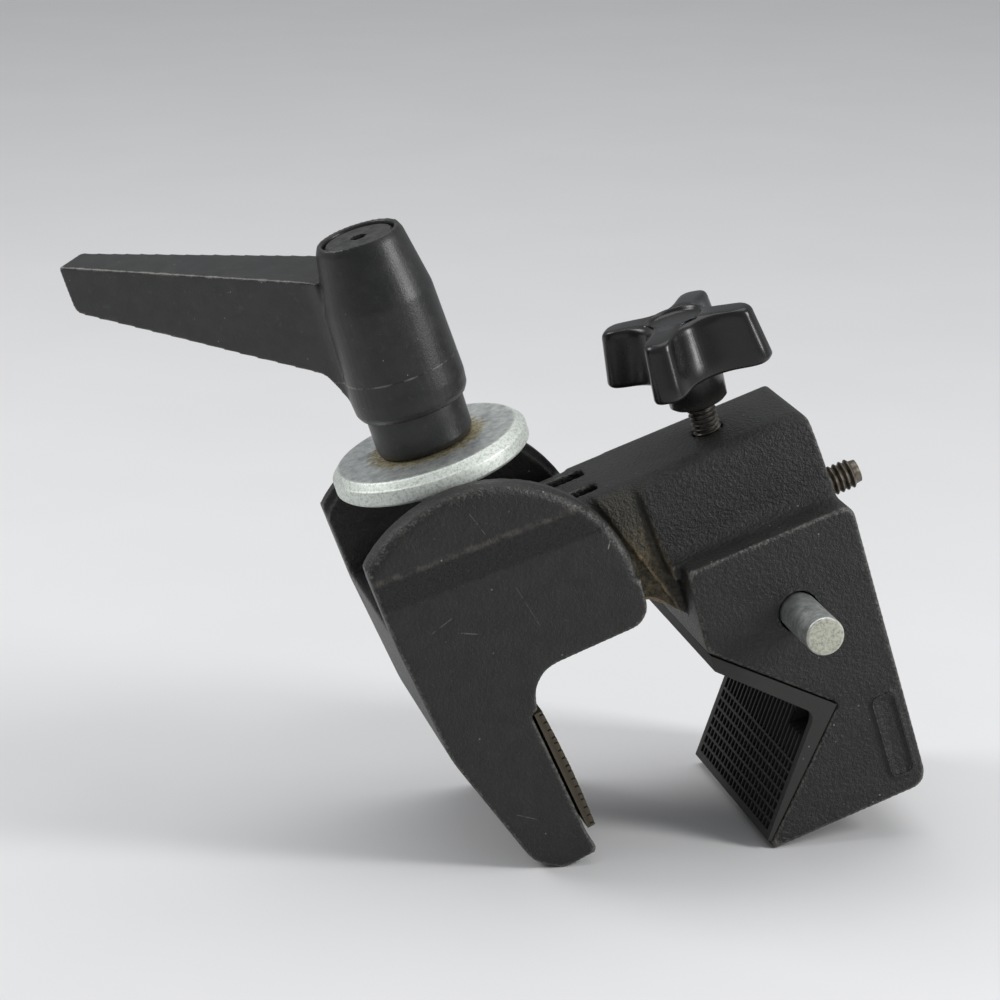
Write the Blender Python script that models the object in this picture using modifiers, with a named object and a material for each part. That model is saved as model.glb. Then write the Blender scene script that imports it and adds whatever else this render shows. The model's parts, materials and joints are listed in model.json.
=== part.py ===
"""Grip clamp: fixed V jaw on an arm, swinging jaw drawn in by a lever screw, hex stud socket, lock knob.

The clamp stands on its two jaw tips, as it is put down on a table. Each group of pieces is modelled square to
its own axes and hung on an empty that gives the group its lean: fixed_axes (body, arm, stud), moving_axes
(swinging jaw, washer, lever screw) and knob_axes (lock knob). Outlines are in millimetres in those axes:
x along the arm, y across the clamp, z up.
"""

import math

import bmesh
import bpy

MM = 0.001

# ---- lean of each group, degrees, and where the axes start (the lower lip of the V, mid-width)
FIXED_LEAN = 19.5
MOVING_LEAN = 17.5
KNOB_LEAN = 16.9
START = (49.94, -6.97, 1.01)

# ---- fixed jaw
HALF_WIDTH = 26.0          # half the width of both jaws
BODY_TOP = 63.0
BODY_RIGHT = 39.5
V_APEX = (23.6, 23.3)      # the cast V, behind the pad
PAD_APEX = (18.4, 23.3)
ARM_TOP = 80.4
ARM_END = -47.3
BLOCK_RIGHT = 39.2
BLOCK_LEFT = 0.9
TOP_HALF = 13.8            # half-width of the block under its rounded top edges
BASE_HALF = 16.0
SLOT_INNER, SLOT_OUTER = 3.4, 7.3
SLOT_RIGHT, SLOT_LEFT = -5.6, -24.0

# ---- stud, its socket, and what locks it
SOCKET_Z = 58.9
HEX_FLATS = 15.8
SOCKET_FLATS = 16.4
STUD_LEFT, STUD_SHOULDER, STUD_END = 10.0, 38.6, 48.8
WAIST = (15.0, 28.0)
WAIST_R = 6.9
STUD_THREAD_R, STUD_PITCH = 3.17, 1.27
PIN = (22.1, 45.6)
PIN_R, PIN_LAND_R = 4.0, 6.0
PIN_OUT = 42.0
KNOB_TIP = (20.6, 66.2)    # where the lock screw ends, on the stud's waist
SCREW_R, SCREW_PITCH = 3.0, 1.0
KNOB_R, KNOB_LOBE_HALF = 17.9, 3.0
KNOB_VALLEY = 4.2          # where the sides of two lobes would meet, before the hollow between them is rounded
KNOB_TURN = -33.0
HUB_BOTTOM, STAR_BOTTOM, STAR_TOP = 20.5, 27.2, 39.4

# ---- swinging jaw
RIM_CENTRE, RIM_R = (-39.2, 65.7), 30.6
PIVOT = (-13.9, 62.9)
PIVOT_R = 3.5
CHEEK_INNER = 19.5
SEAT_R, SEAT_HALF = 29.0, 20.8     # the step along the rims that the washer bears on
WEB_INNER, WEB_TOP = -54.0, 72.0
FLOOR = 55.5
FACE_STEP = 0.7            # the cheek face below the band is this much lower
PAD_TEETH = 12

# ---- lever screw
LEVER_X = -37.9
SPINDLE_R = 4.9
NUT_Z, NUT_R, NUT_HALF = 69.5, 6.5, 12.0
WASHER_Z, WASHER_T, WASHER_R = 95.0, 4.9, 20.5
LEVER_AZIMUTH = 135.0      # the way the handle points, from +x towards +y
HANDLE_REACH = 75.6
SKIRT_INNER = 10.45
LIFT = 5.0
SPLINES = 12

ROUND = 48

for old in list(bpy.data.objects):
    bpy.data.objects.remove(old, do_unlink=True)

scene = bpy.context.scene
clamp = bpy.data.collections.new("grip_clamp")
cutters = bpy.data.collections.new("cutters")
scene.collection.children.link(clamp)
scene.collection.children.link(cutters)
cutters.hide_render = True


def material(name, colour, metallic, roughness):
    mat = bpy.data.materials.new(name)
    mat.use_nodes = True
    shader = mat.node_tree.nodes["Principled BSDF"]
    shader.inputs["Base Color"].default_value = (*colour, 1)
    shader.inputs["Metallic"].default_value = metallic
    shader.inputs["Roughness"].default_value = roughness
    return mat


def axes(name, at, lean):
    empty = bpy.data.objects.new(name, None)
    clamp.objects.link(empty)
    empty.location = [v * MM for v in at]
    empty.rotation_euler = (0, -math.radians(lean), 0)
    return empty


def turned_point(x, z, degrees):
    """Where (x, z) of one set of axes lies in another that leans less by this many degrees."""
    c, s = math.cos(math.radians(degrees)), math.sin(math.radians(degrees))
    return x * c - z * s, x * s + z * c


fixed_axes = axes("fixed_axes", START, FIXED_LEAN)
moving_axes = axes("moving_axes", START, MOVING_LEAN)
knob_dx, knob_dz = turned_point(*KNOB_TIP, FIXED_LEAN)
knob_axes = axes("knob_axes", (START[0] + knob_dx, START[1], START[2] + knob_dz), KNOB_LEAN)


# ---------------------------------------------------------------- outlines
def rounded(*corners, step=15):
    """A closed outline from (x, z, radius) corners, each corner rounded by an arc."""
    points = []
    for i, (x, z, r) in enumerate(corners):
        (px, pz, _), (nx, nz, _) = corners[i - 1], corners[(i + 1) % len(corners)]
        ax, az, bx, bz = px - x, pz - z, nx - x, nz - z
        la, lb = math.hypot(ax, az), math.hypot(bx, bz)
        ax, az, bx, bz = ax / la, az / la, bx / lb, bz / lb
        corner = math.acos(max(-1, min(1, ax * bx + az * bz)))
        if r <= 0 or corner > math.radians(179):
            points.append((x, z))
            continue
        back = r / math.tan(corner / 2)
        reach = r / math.sin(corner / 2)
        mx, mz = ax + bx, az + bz
        m = math.hypot(mx, mz)
        cx, cz = x + mx / m * reach, z + mz / m * reach
        start = math.atan2(z + az * back - cz, x + ax * back - cx)
        end = math.atan2(z + bz * back - cz, x + bx * back - cx)
        sweep = (end - start + math.pi) % (2 * math.pi) - math.pi
        n = max(2, round(abs(math.degrees(sweep)) / step))
        points += [(cx + r * math.cos(start + sweep * k / n), cz + r * math.sin(start + sweep * k / n))
                   for k in range(n + 1)]
    return points


def arc(cx, cz, r, start, end, n):
    """Points of an arc, degrees from +x."""
    return [(cx + r * math.cos(math.radians(start + (end - start) * k / n)),
             cz + r * math.sin(math.radians(start + (end - start) * k / n))) for k in range(n + 1)]


# ---------------------------------------------------------------- solids
def add(name, mesh_verts, faces, parent, mat=None, at=(0, 0, 0), helper=False):
    mesh = bpy.data.meshes.new(name)
    bm = bmesh.new()
    made = [bm.verts.new([c * MM for c in v]) for v in mesh_verts]
    for face in faces:
        bm.faces.new([made[i] for i in face])
    bmesh.ops.recalc_face_normals(bm, faces=bm.faces)
    bm.to_mesh(mesh)
    bm.free()
    obj = bpy.data.objects.new(name, mesh)
    (cutters if helper else clamp).objects.link(obj)
    obj.parent = parent
    obj.location = [c * MM for c in at]
    if mat:
        mesh.materials.append(mat)
    if helper:
        obj.hide_render = True
        obj.display_type = "WIRE"
    return obj


def prism(name, points, axis, low, high, parent, **kw):
    """An outline pushed along x, y or z. Along y the outline is (x, z), along x (y, z), along z (x, y)."""
    place = {"x": lambda u, v, w: (w, u, v), "y": lambda u, v, w: (u, w, v), "z": lambda u, v, w: (u, v, w)}[axis]
    n = len(points)
    verts = [place(u, v, low) for u, v in points] + [place(u, v, high) for u, v in points]
    faces = [tuple(range(n)), tuple(range(2 * n - 1, n - 1, -1))]
    faces += [(i, (i + 1) % n, n + (i + 1) % n, n + i) for i in range(n)]
    return add(name, verts, faces, parent, **kw)


def lathe(name, profile, parent, axis="z", hollow=False, steps=ROUND, **kw):
    """A turned solid from (radius, height) points. hollow joins the last point to the first, for a tube."""
    place = {"z": lambda a, b, h: (a, b, h), "y": lambda a, b, h: (b, h, a), "x": lambda a, b, h: (h, a, b)}[axis]
    verts, faces = [], []
    for r, h in profile:
        for k in range(steps):
            a = 2 * math.pi * (k + 0.5) / steps
            verts.append(place(r * math.cos(a), r * math.sin(a), h))
    rings = len(profile)
    for i in range(rings if hollow else rings - 1):
        j = (i + 1) % rings
        faces += [(i * steps + k, i * steps + (k + 1) % steps, j * steps + (k + 1) % steps, j * steps + k)
                  for k in range(steps)]
    if not hollow:
        faces += [tuple(range(steps)), tuple(range((rings - 1) * steps, rings * steps))]
    return add(name, verts, faces, parent, **kw)


def box(name, x, y, z, parent, **kw):
    return prism(name, [(x[0], z[0]), (x[1], z[0]), (x[1], z[1]), (x[0], z[1])], "y", y[0], y[1], parent, **kw)


def coil(name, radius, wire, low, high, turns, parent, axis="z", at=(0, 0, 0), mat=None):
    """A round-wire spring, one closed tube."""
    place = {"z": lambda a, b, h: (a, b, h), "y": lambda a, b, h: (b, h, a)}[axis]
    sides, steps = 8, round(turns * 20)
    verts, faces = [], []
    rise = (high - low - 2 * wire) / steps
    for i in range(steps + 1):
        a = 2 * math.pi * turns * i / steps
        for k in range(sides):
            b = 2 * math.pi * k / sides
            r = radius + wire * math.cos(b)
            verts.append(place(r * math.cos(a), r * math.sin(a), low + wire + rise * i + wire * math.sin(b)))
    for i in range(steps):
        faces += [(i * sides + k, i * sides + (k + 1) % sides, (i + 1) * sides + (k + 1) % sides,
                   (i + 1) * sides + k) for k in range(sides)]
    faces += [tuple(range(sides)), tuple(range(steps * sides, (steps + 1) * sides))]
    return add(name, verts, faces, parent, at=at, mat=mat)


def boolean(target, other, operation="DIFFERENCE"):
    step = target.modifiers.new(f"{operation.lower()}_{other.name}", "BOOLEAN")
    step.operation = operation
    step.solver = "EXACT"
    step.object = other


def soften(obj, width, segments=2, degrees=30):
    """Rounds the casting's outside edges."""
    step = obj.modifiers.new("soft_edges", "BEVEL")
    step.width = width * MM
    step.segments = segments
    step.limit_method = "ANGLE"
    step.angle_limit = math.radians(degrees)


def hexagon(flats):
    r = flats / math.sqrt(3)
    return [(r * math.cos(math.radians(60 * k)), r * math.sin(math.radians(60 * k))) for k in range(6)]


def thread(low, high, radius, pitch, depth):
    """Profile points of a thread from low to high, as rings."""
    n = int((high - low) / pitch)
    points = []
    for k in range(n):
        h = low + k * pitch
        points += [(radius - depth, h + 0.1 * pitch), (radius, h + 0.45 * pitch), (radius, h + 0.6 * pitch)]
    return points + [(radius - depth, low + n * pitch)]


cast = material("black_casting", (0.06, 0.06, 0.058), 0.0, 0.62)
pad_black = material("pad_rubber", (0.07, 0.07, 0.068), 0.0, 0.7)
pad_brown = material("jaw_pad_rubber", (0.10, 0.085, 0.06), 0.0, 0.8)
zinc = material("zinc_plate", (0.62, 0.64, 0.62), 1.0, 0.35)
steel = material("dark_steel", (0.30, 0.27, 0.23), 1.0, 0.4)
plastic = material("black_plastic", (0.03, 0.032, 0.03), 0.0, 0.3)
lever_paint = material("lever_black", (0.05, 0.052, 0.05), 0.0, 0.45)
spring_steel = material("spring_steel", (0.45, 0.45, 0.44), 1.0, 0.35)
rust_steel = material("brown_steel", (0.25, 0.19, 0.13), 1.0, 0.5)

# ================================================================ fixed jaw
body_outline = rounded(
    (2.8, BODY_TOP, 1.0), (BODY_RIGHT, BODY_TOP, 2.4), (36.4, -1.5, 3.6), (0.9, -1.5, 0.3),
    (1.2, 0.42, 0), (*V_APEX, 1.0), (1.4, 45.1, 0.6),
)
fixed_jaw = prism("fixed_jaw", body_outline, "y", -HALF_WIDTH, HALF_WIDTH, fixed_axes, mat=cast)
soften(fixed_jaw, 0.7)


def block_section(top_half, base_half):
    """Half of the block's section: rounded top edge, drafted side, hollow blend down to the ledge."""
    side = rounded((0, ARM_TOP, 0), (top_half, ARM_TOP, 4.4), (base_half, 67.2, 0), (base_half, 60, 0), (0, 60, 0))
    side = [p for p in side if p[0] > 0.01 and p[1] > 67.1]
    return side + arc(base_half + 4.2, 67.2, 4.2, 180, 270, 4) + [(base_half + 4.2, 60)]


half = block_section(TOP_HALF, BASE_HALF)
block = prism("block", half + [(-y, z) for y, z in reversed(half)], "x", BLOCK_LEFT, BLOCK_RIGHT, fixed_axes,
              helper=True)
block_plan = prism(
    "block_plan",
    rounded((-5, -24, 0), (BLOCK_RIGHT, -24, 9.5), (BLOCK_RIGHT, 24, 9.5), (-5, 24, 0)),
    "z", 50, 90, fixed_axes, helper=True,
)
block_side = prism(
    "block_side",
    rounded((-5, 50, 0), (BLOCK_RIGHT + 0.1, 50, 0), (BLOCK_RIGHT, ARM_TOP, 2.0), (-5, ARM_TOP, 0)),
    "y", -30, 30, fixed_axes, helper=True,
)
boolean(block, block_plan, "INTERSECT")
boolean(block, block_side, "INTERSECT")
boolean(fixed_jaw, block, "UNION")


def arm_section(top_half, base_half):
    half = rounded((0, ARM_TOP, 0), (top_half, ARM_TOP, 3.6), (base_half, 50, 0), (0, 50, 0))
    half = [p for p in half if p[0] > 0.01]
    return half + [(-y, z) for y, z in reversed(half)]


arm = prism("arm", arm_section(TOP_HALF - 1.8, BASE_HALF - 0.6), "x", ARM_END, 6, fixed_axes, helper=True)
arm_side = prism(
    "arm_side",
    rounded((ARM_END, 82, 0), (6, 82, 0), (6, 50.2, 0), (0.9, 51.5, 0.8), (-4.5, 56.6, 4), (-20, 56.6, 8),
            (ARM_END, 61, 4)),
    "y", -30, 30, fixed_axes, helper=True,
)
boolean(arm, arm_side, "INTERSECT")
boolean(fixed_jaw, arm, "UNION")
# the arm's root stands proud of the stretch that runs between the cheeks, up to a slanting edge
root = prism("arm_root", arm_section(TOP_HALF - 0.7, BASE_HALF + 0.5), "x", -12, 5, fixed_axes, helper=True)
root_side = prism("arm_root_side", [(-8.2, 81), (4, 81), (4, 51.4), (0.7, 51.4)], "y", -30, 30, fixed_axes,
                  helper=True)
boolean(root, root_side, "INTERSECT")
boolean(fixed_jaw, root, "UNION")

for side, sign in (("front", -1), ("rear", 1)):
    slot = box(f"arm_slot_{side}", (SLOT_LEFT, SLOT_RIGHT), sorted((sign * SLOT_INNER, sign * SLOT_OUTER)),
               (74.0, 85), fixed_axes, helper=True)
    boolean(fixed_jaw, slot)
screw_slot = box("screw_slot", (-42.5, -28.5), (-6.2, 6.2), (40, 90), fixed_axes, helper=True)
boolean(fixed_jaw, screw_slot)
nut_bore = lathe("nut_bore", [(NUT_R + 0.3, -30), (NUT_R + 0.3, 30)], moving_axes, axis="y",
                 at=(LEVER_X, 0, NUT_Z), helper=True)
boolean(fixed_jaw, nut_bore)
pivot_bore = lathe("pivot_bore", [(PIVOT_R + 0.3, -30), (PIVOT_R + 0.3, 30)], moving_axes, axis="y",
                   at=(PIVOT[0], 0, PIVOT[1]), helper=True, steps=32)
boolean(fixed_jaw, pivot_bore)
socket = prism("stud_socket", [(y, z + SOCKET_Z) for y, z in hexagon(SOCKET_FLATS)], "x", STUD_LEFT - 1, 60,
               fixed_axes, helper=True)
boolean(fixed_jaw, socket)
knob_bore = lathe("knob_bore", [(SCREW_R + 0.3, -2), (SCREW_R + 0.3, 30)], knob_axes, helper=True, steps=32)
boolean(fixed_jaw, knob_bore)
pin_bore = lathe("pin_bore", [(PIN_R + 0.35, -40), (PIN_R + 0.35, -11), (PIN_LAND_R + 0.3, -11), (PIN_LAND_R + 0.3, 40)],
                 fixed_axes, axis="y", at=(PIN[0], 0, PIN[1]), helper=True, steps=40)
boolean(fixed_jaw, pin_bore)

# a blank raised panel low on each face of the jaw
panel = prism("blank_panel", rounded((30.2, 21.5, 1.6), (35.6, 21.5, 1.6), (34.8, 2.6, 1.6), (29.4, 2.6, 1.6)), "y",
              -HALF_WIDTH - 0.5, HALF_WIDTH + 0.5, fixed_axes, helper=True)
panel_keep = prism("panel_keep", rounded((30.9, 20.8, 1.0), (34.9, 20.8, 1.0), (34.1, 3.3, 1.0), (30.1, 3.3, 1.0)),
                   "y", -HALF_WIDTH - 2, -HALF_WIDTH + 0.0, fixed_axes, helper=True)
panel_keep_rear = prism("panel_keep_rear",
                        rounded((30.9, 20.8, 1.0), (34.9, 20.8, 1.0), (34.1, 3.3, 1.0), (30.1, 3.3, 1.0)),
                        "y", HALF_WIDTH, HALF_WIDTH + 2, fixed_axes, helper=True)
boolean(panel, panel_keep)
boolean(panel, panel_keep_rear)
boolean(fixed_jaw, panel, "UNION")

# ---- V pad, with the pocket beside its root
v_pad = prism(
    "v_pad",
    rounded((1.0, 0.64, 0), (23.23, 23.31, 0.8), (1.75, 44.36, 0.3), (1.5, 40.9, 0.4), (*PAD_APEX, 1.6),
            (0.25, 1.0, 0.2)),
    "y", -HALF_WIDTH + 0.1, HALF_WIDTH - 0.1, fixed_axes, mat=pad_black,
)
for side, sign in (("front", -1), ("rear", 1)):
    pocket = box(f"pad_pocket_{side}", (13.6, 20.4), sorted((sign * 15.5, sign * 23.5)), (18.6, 23.6), fixed_axes,
                 helper=True)
    boolean(v_pad, pocket)

# ---- hex stud with its waist and thread
hex_stud = prism("hex_stud", [(y, z + SOCKET_Z) for y, z in hexagon(HEX_FLATS)], "x", STUD_LEFT, STUD_SHOULDER,
                 fixed_axes, mat=rust_steel)
waist = lathe("stud_waist", [(14, WAIST[0]), (14, WAIST[1]), (WAIST_R, WAIST[1]), (WAIST_R, WAIST[0])], fixed_axes,
              axis="x", hollow=True, at=(0, 0, SOCKET_Z), helper=True, steps=36)
boolean(hex_stud, waist)
stud_thread = lathe(
    "stud_thread",
    [(2.6, STUD_SHOULDER - 4)] + thread(STUD_SHOULDER, STUD_END - 0.5, STUD_THREAD_R, STUD_PITCH, 0.62)
    + [(2.4, STUD_END)],
    fixed_axes, axis="x", at=(0, 0, SOCKET_Z), helper=True, steps=32,
)
boolean(hex_stud, stud_thread, "UNION")

# ---- safety pin: button end, land under the stud's waist, spring and rear plug
safety_pin = lathe(
    "safety_pin",
    [(PIN_R - 1.0, -PIN_OUT), (PIN_R - 0.3, -PIN_OUT + 0.25), (PIN_R, -PIN_OUT + 0.9), (PIN_R, -10.6),
     (PIN_LAND_R, -10.6), (PIN_LAND_R, 4.0), (2.6, 4.0), (2.6, 9.0)],
    fixed_axes, axis="y", at=(PIN[0], 0, PIN[1]), mat=zinc, steps=40,
)
coil("safety_pin_spring", 4.3, 0.55, 4.3, 22.4, 7, fixed_axes, axis="y", at=(PIN[0], 0, PIN[1]), mat=spring_steel)
lathe("safety_pin_plug", [(PIN_LAND_R, 22.7), (PIN_LAND_R, 25.4), (PIN_LAND_R - 0.5, 25.8)], fixed_axes, axis="y",
      at=(PIN[0], 0, PIN[1]), mat=zinc, steps=40)

# ================================================================ lock knob and its screw
lock_screw = lathe(
    "lock_screw",
    [(2.0, 0.0), (2.5, 0.6)] + thread(0.8, 25.0, SCREW_R, SCREW_PITCH, 0.45) + [(SCREW_R - 0.45, 34.0)],
    knob_axes, mat=steel, steps=28,
)
star = []
for k in range(4):
    c, s = math.cos(math.radians(90 * k + KNOB_TURN)), math.sin(math.radians(90 * k + KNOB_TURN))
    for u, v, r in ((KNOB_R, -KNOB_LOBE_HALF, 2.2), (KNOB_R, KNOB_LOBE_HALF, 2.2), (KNOB_VALLEY, KNOB_VALLEY, 10.0)):
        star.append((u * c - v * s, u * s + v * c, r))
lock_knob = prism("lock_knob", rounded(*star, step=18), "z", STAR_BOTTOM, STAR_TOP, knob_axes, mat=plastic)
for v in lock_knob.data.vertices:          # the lobes draw in towards the top
    if v.co.z > (STAR_BOTTOM + 1) * MM:
        v.co.x *= 0.9
        v.co.y *= 0.9
soften(lock_knob, 1.1, segments=3, degrees=50)
knob_hub = lathe("knob_hub", [(5.6, HUB_BOTTOM), (6.2, HUB_BOTTOM + 0.6), (6.6, STAR_BOTTOM + 2)], knob_axes,
                 helper=True, steps=40)
boolean(lock_knob, knob_hub, "UNION")
knob_dish = lathe("knob_dish", [(6.6, STAR_TOP - 1.0), (7.1, STAR_TOP - 0.6), (7.6, STAR_TOP + 0.5)], knob_axes,
                  helper=True, steps=40)
boolean(lock_knob, knob_dish)
knob_hole = lathe("knob_hole", [(SCREW_R + 0.25, HUB_BOTTOM - 2), (SCREW_R + 0.25, 34.3)], knob_axes, helper=True,
                  steps=32)
boolean(lock_knob, knob_hole)

# ================================================================ swinging jaw
rim = arc(*RIM_CENTRE, RIM_R, -1, 130, 22)
jaw_outline = rounded(
    (-60.4, 87.6, 1.6), (-59.5, 70, 20), (-56.4, 43, 20), (-47.2, 15.6, 6.5), (-41.6, 11.72, 5), (-33.8, 12.8, 0.9),
    (-34.9, 17.4, 0), (-38.2, 46.4, 0), (-36.6, 46.4, 0), (-35.6, 54.5, 7.0), (-9.0, 56.0, 4.6),
    *[(x, z, 0) for x, z in rim],
)
moving_jaw = prism("moving_jaw", jaw_outline, "y", -HALF_WIDTH, HALF_WIDTH, moving_axes, mat=cast)
soften(moving_jaw, 1.1, segments=3, degrees=35)
head_room = box("head_room", (WEB_INNER, 10), (-CHEEK_INNER, CHEEK_INNER), (FLOOR, 120), moving_axes, helper=True)
boolean(moving_jaw, head_room)
head_top = box("head_top", (-80, -40), (-CHEEK_INNER, CHEEK_INNER), (WEB_TOP, 120), moving_axes, helper=True)
boolean(moving_jaw, head_top)
arm_room = box("arm_room", (-29, 10), (-CHEEK_INNER, CHEEK_INNER), (45, 100), moving_axes, helper=True)
boolean(moving_jaw, arm_room)
washer_seat = prism("washer_seat", arc(*RIM_CENTRE, SEAT_R, 20, 140, 24) + arc(*RIM_CENTRE, RIM_R + 6, 140, 20, 24),
                    "y", -SEAT_HALF, SEAT_HALF, moving_axes, helper=True)
boolean(moving_jaw, washer_seat)
for side, sign in (("front", -1), ("rear", 1)):
    # the face below the band sits lower than the rim's
    step_cut = prism(
        f"face_step_{side}",
        [(sign * (HALF_WIDTH + 5), 84.5), (sign * HALF_WIDTH, 84.2), (sign * (HALF_WIDTH - FACE_STEP), 78.2),
         (sign * (HALF_WIDTH - FACE_STEP), 0), (sign * (HALF_WIDTH + 5), 0)],
        "x", -90, 20, moving_axes, helper=True,
    )
    boolean(moving_jaw, step_cut)
jaw_pivot_bore = lathe("jaw_pivot_bore", [(PIVOT_R + 0.3, -23.3), (PIVOT_R + 0.3, 40)], moving_axes, axis="y",
                       at=(PIVOT[0], 0, PIVOT[1]), helper=True, steps=32)
boolean(moving_jaw, jaw_pivot_bore)

# ---- ribbed pad, let into the jaw's face
face_low, face_high = (-34.75, 18.2), (-37.9, 45.9)
lean_x, lean_z = face_high[0] - face_low[0], face_high[1] - face_low[1]
run = math.hypot(lean_x, lean_z)
ux, uz = lean_x / run, lean_z / run
nx, nz = uz, -ux
pad_points = [(face_low[0] + nx * 0.3, face_low[1] + nz * 0.3)]
for k in range(PAD_TEETH):
    for share, high in ((0.08, 1.0), (0.35, 1.75), (0.65, 1.75), (0.92, 1.0)):
        at = run * (k + share) / PAD_TEETH
        bulge = 0.45 * math.sin(math.pi * at / run)
        pad_points.append((face_low[0] + ux * at + nx * (0.3 + high + bulge),
                           face_low[1] + uz * at + nz * (0.3 + high + bulge)))
pad_points.append((face_high[0] + nx * 0.3, face_high[1] + nz * 0.3))
prism("jaw_pad", pad_points, "y", -HALF_WIDTH + 1.2, HALF_WIDTH - 1.2, moving_axes, mat=pad_brown)

# ---- pivot
lathe("pivot_pin", [(PIVOT_R - 0.4, -22.9), (PIVOT_R, -22.4), (PIVOT_R, 24.6), (PIVOT_R - 0.4, 25.0)], moving_axes,
      axis="y", at=(PIVOT[0], 0, PIVOT[1]), mat=steel, steps=32)
for side, sign in (("front", -1), ("rear", 1)):
    near, far = sorted((sign * 17.2, sign * (CHEEK_INNER - 0.3)))
    lathe(f"pivot_washer_{side}", [(PIVOT_R + 0.3, near), (6.0, near), (6.0, far), (PIVOT_R + 0.3, far)], moving_axes,
          axis="y", hollow=True, at=(PIVOT[0], 0, PIVOT[1]), mat=zinc, steps=32)

# ================================================================ lever screw
barrel_nut = lathe("barrel_nut", [(NUT_R - 0.5, -NUT_HALF), (NUT_R, -NUT_HALF + 0.5), (NUT_R, NUT_HALF - 0.5),
                                  (NUT_R - 0.5, NUT_HALF)], moving_axes, axis="y", at=(LEVER_X, 0, NUT_Z), mat=steel,
                   steps=40)
nut_thread = lathe("nut_thread", [(SPINDLE_R + 0.3, 50), (SPINDLE_R + 0.3, 90)], moving_axes, at=(LEVER_X, 0, 0),
                   helper=True, steps=32)
boolean(barrel_nut, nut_thread)

spindle = lathe("spindle", [(SPINDLE_R - 0.9, 60.0), (SPINDLE_R, 61.0), (SPINDLE_R, 125.0), (SPINDLE_R - 0.4, 125.5)],
                moving_axes, at=(LEVER_X, 0, 0), mat=steel, steps=32)
spindle_hole = lathe("spindle_hole", [(2.7, 118.5), (2.7, 130)], moving_axes, at=(LEVER_X, 0, 0), helper=True,
                     steps=24)
boolean(spindle, spindle_hole)

top = WASHER_Z + WASHER_T
lathe("pressure_washer",
      [(SPINDLE_R + 0.4, WASHER_Z), (WASHER_R - 0.5, WASHER_Z), (WASHER_R, WASHER_Z + 0.6), (WASHER_R, top - 1.7),
       (WASHER_R - 0.6, top - 0.6), (WASHER_R - 1.8, top), (SPINDLE_R + 0.4, top)],
      moving_axes, hollow=True, at=(LEVER_X, 0, 0), mat=zinc, steps=72)


def splines(low, high):
    """Outline of the splined part, between the two radii."""
    points = []
    for k in range(SPLINES):
        for share, r in ((0.0, low), (0.25, low), (0.5, high), (0.75, high)):
            a = 2 * math.pi * (k + share) / SPLINES
            points.append((r * math.cos(a), r * math.sin(a)))
    return points


ratchet_hub = lathe(
    "ratchet_hub",
    [(5.2, top + 0.3), (9.7, top + 0.3), (10.05, top + 0.9), (10.15, 110.2), (6.8, 110.2), (6.8, 122), (5.2, 122)],
    moving_axes, hollow=True, at=(LEVER_X, 0, 0), mat=lever_paint,
)
hub_teeth = prism("hub_teeth", splines(7.1, 7.9), "z", 109.5, 115.4, moving_axes, at=(LEVER_X, 0, 0), helper=True)
hub_bore = lathe("hub_bore", [(5.2, 90), (5.2, 130)], moving_axes, at=(LEVER_X, 0, 0), helper=True)
boolean(ratchet_hub, hub_teeth, "UNION")
boolean(ratchet_hub, hub_bore)

lever_handle = lathe(
    "lever_handle",
    [(SKIRT_INNER, 108.6), (10.9, 108.6), (11.7, 110.0), (11.95, 112.8), (11.3, 132.0), (9.1, 144.2), (8.4, 145.6),
     (7.9, 145.6), (7.5, 145.2), (7.5, 129.0), (3.1, 129.0), (3.1, 126.6), (8.5, 126.6), (8.5, 115.4),
     (6.9, 115.4), (6.9, 110.7), (SKIRT_INNER, 110.7)],
    moving_axes, hollow=True, at=(LEVER_X, 0, 0), mat=lever_paint,
)
bar = prism(
    "lever_bar",
    rounded((7.7, 138.8, 0), (HANDLE_REACH, 147.9, 0.8), (HANDLE_REACH - 0.4, 137.3, 2.4), (13.8, 119.1, 4),
            (8.5, 111.5, 0)),
    "y", -12.0, 12.0, moving_axes, at=(LEVER_X, 0, 0), helper=True,
)
# the handle narrows towards its end, and flares where it runs into the barrel
bar_plan = prism(
    "lever_bar_plan",
    rounded((4.0, -8.8, 0), (11.0, -7.0, 9), (HANDLE_REACH, -3.9, 0.7), (HANDLE_REACH, 3.9, 0.7), (11.0, 7.0, 9),
            (4.0, 8.8, 0)),
    "z", 100, 155, moving_axes, at=(LEVER_X, 0, 0), helper=True,
)
bar_plan.rotation_euler = (0, 0, math.radians(LEVER_AZIMUTH))
boolean(bar, bar_plan, "INTERSECT")
bar.rotation_euler = (0, 0, math.radians(LEVER_AZIMUTH))
soften(bar, 0.8, degrees=50)
boolean(lever_handle, bar, "UNION")
handle_skirt = lathe("handle_skirt", [(SKIRT_INNER, 100), (SKIRT_INNER, 110.7)], moving_axes, at=(LEVER_X, 0, 0), helper=True)
boolean(lever_handle, handle_skirt)
handle_room = lathe("handle_room", [(8.5, 115.4), (8.5, 126.6)], moving_axes, at=(LEVER_X, 0, 0), helper=True)
boolean(lever_handle, handle_room)
handle_splines = prism("handle_splines", splines(7.4, 8.2), "z", 108, 116, moving_axes, at=(LEVER_X, 0, 0),
                       helper=True)
boolean(lever_handle, handle_splines)

coil("lever_spring", 4.3, 0.5, 129.3, 140.1, 4, moving_axes, at=(LEVER_X, 0, 0), mat=spring_steel)
lever_screw = lathe(
    "lever_screw",
    [(2.0, 119.2), (2.4, 119.8), (2.4, 140.4), (7.1, 140.4), (7.1, 144.6), (6.7, 145.0)],
    moving_axes, at=(LEVER_X, 0, 0), mat=rust_steel, steps=36,
)
drive = prism("screw_drive", hexagon(3.2), "z", 143.2, 150, moving_axes, at=(LEVER_X, 0, 0), helper=True)
boolean(lever_screw, drive)
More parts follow.
